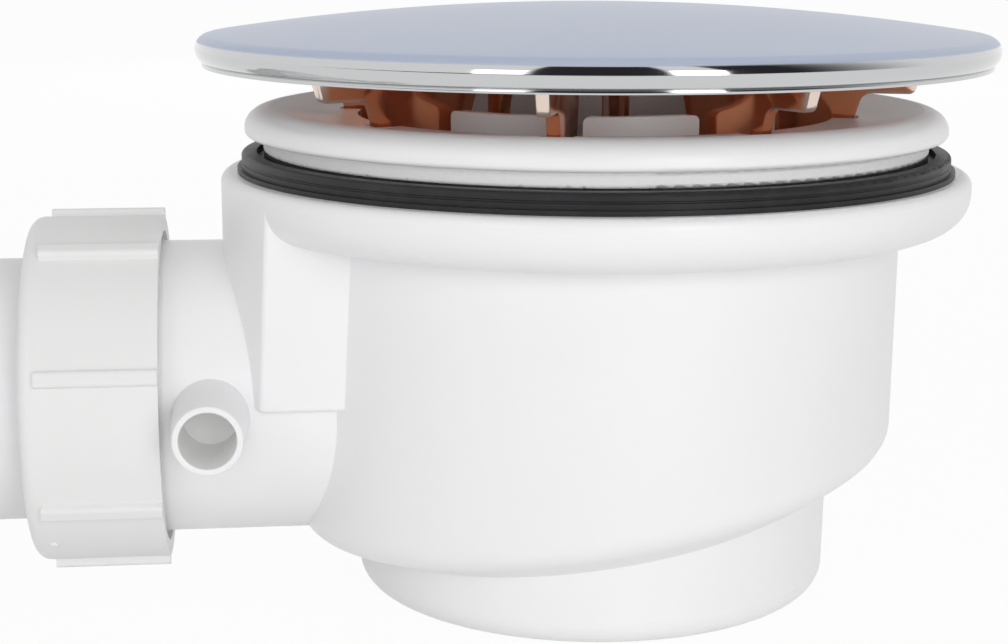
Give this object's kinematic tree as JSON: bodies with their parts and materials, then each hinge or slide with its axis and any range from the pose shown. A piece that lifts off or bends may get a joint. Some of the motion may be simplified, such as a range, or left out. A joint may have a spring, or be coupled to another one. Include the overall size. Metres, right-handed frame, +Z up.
{
  "type": "shower trap",
  "caption": "Low shower trap: a plated dome cover on a white flange, a gasketed bowl with a lift-out dip tube, and a side outlet with a ribbed compression nut, pipe and hose spigot.",
  "frame": {"origin": "centre of the sump's flat underside, on the bowl's axis", "axes": "+Z up along the bowl's axis to the dome, -X along the outlet pipe, -Y towards the hose spigot"},
  "size_m": [0.1731, 0.1218, 0.0906],
  "materials": {
    "plated_cover": "bright plating on plastic, satin on the crown",
    "white_gloss": "glossy injection moulding",
    "white_satin": "satin injection moulding",
    "white_pipe": "satin extrusion",
    "white_foam": "closed-cell foam, matt",
    "black_rubber": "moulded, satin"
  },
  "bodies": {
    "root": {"dome_cover": "plated_cover", "waste_flange": "white_gloss", "flange_washer": "white_foam", "tray_gasket": "black_rubber", "trap_body": "white_gloss", "dip_tube": "white_gloss", "dip_tube_seal": "black_rubber", "outlet_nut": "white_satin", "outlet_seal": "black_rubber", "slip_ring": "white_satin", "outlet_pipe": "white_pipe"}
  },
  "joints": []
}
